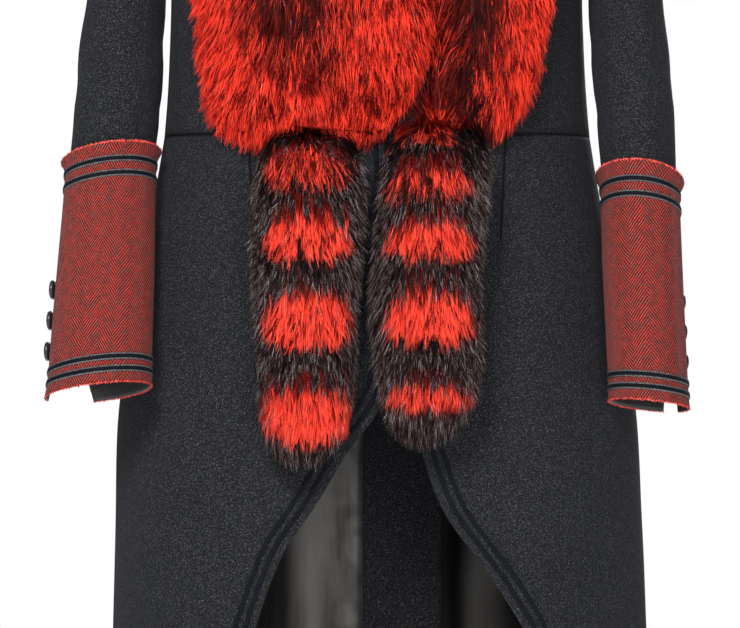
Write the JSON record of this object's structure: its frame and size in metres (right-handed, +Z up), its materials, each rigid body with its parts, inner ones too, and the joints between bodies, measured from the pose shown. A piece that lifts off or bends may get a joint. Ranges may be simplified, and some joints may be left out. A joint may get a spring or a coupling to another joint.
{
  "type": "coat",
  "caption": "Long worn-shape wool coat with a cutaway front, back vent, fur collar ending in ringed tails, and herringbone cuffs with velvet tapes.",
  "frame": {"origin": "level with the neck point, midway between the shoulders, on the plane of the side seams; the wearer's shoulders hold the coat there", "axes": "+Z up; the front faces -Y; +X towards the wearer's left"},
  "size_m": [0.6289, 0.379, 1.1617],
  "materials": {
    "wool": "felted charcoal-navy cashmere wool with a fine nap",
    "herringbone": "red and dark brown herringbone tweed with a raw edge",
    "velvet": "blue-black velvet tape",
    "satin_lining": "grey satin, soft sheen",
    "collar_fur": "long dyed red fur over dark underfur",
    "tail_fur": "long fur in red and dark brown rings",
    "button_horn": "dark polished horn"
  },
  "bodies": {
    "root": {"bodice_front_right": "wool", "bodice_back_right": "wool", "skirt_front_right": "wool", "skirt_back_right": "wool", "sleeve_top_right": "wool", "sleeve_under_right": "wool", "lining_back_right": "satin_lining", "front_line_right_1": "velvet", "front_line_right_2": "velvet", "tape_right_1": "velvet", "tape_right_2": "velvet", "tape_right_3": "velvet", "tape_right_4": "velvet", "cuff_right": "herringbone", "cuff_button_right_1": "button_horn", "cuff_button_right_2": "button_horn", "cuff_button_right_3": "button_horn", "fur_collar_right": "collar_fur", "fur_tail_right": "tail_fur", "bodice_front_left": "wool", "bodice_back_left": "wool", "skirt_front_left": "wool", "skirt_back_left": "wool", "sleeve_top_left": "wool", "sleeve_under_left": "wool", "lining_back_left": "satin_lining", "front_line_left_1": "velvet", "front_line_left_2": "velvet", "tape_left_1": "velvet", "tape_left_2": "velvet", "tape_left_3": "velvet", "tape_left_4": "velvet", "cuff_left": "herringbone", "cuff_button_left_1": "button_horn", "cuff_button_left_2": "button_horn", "cuff_button_left_3": "button_horn", "fur_collar_left": "collar_fur", "fur_tail_left": "tail_fur", "fur_collar_back": "collar_fur"}
  },
  "joints": []
}
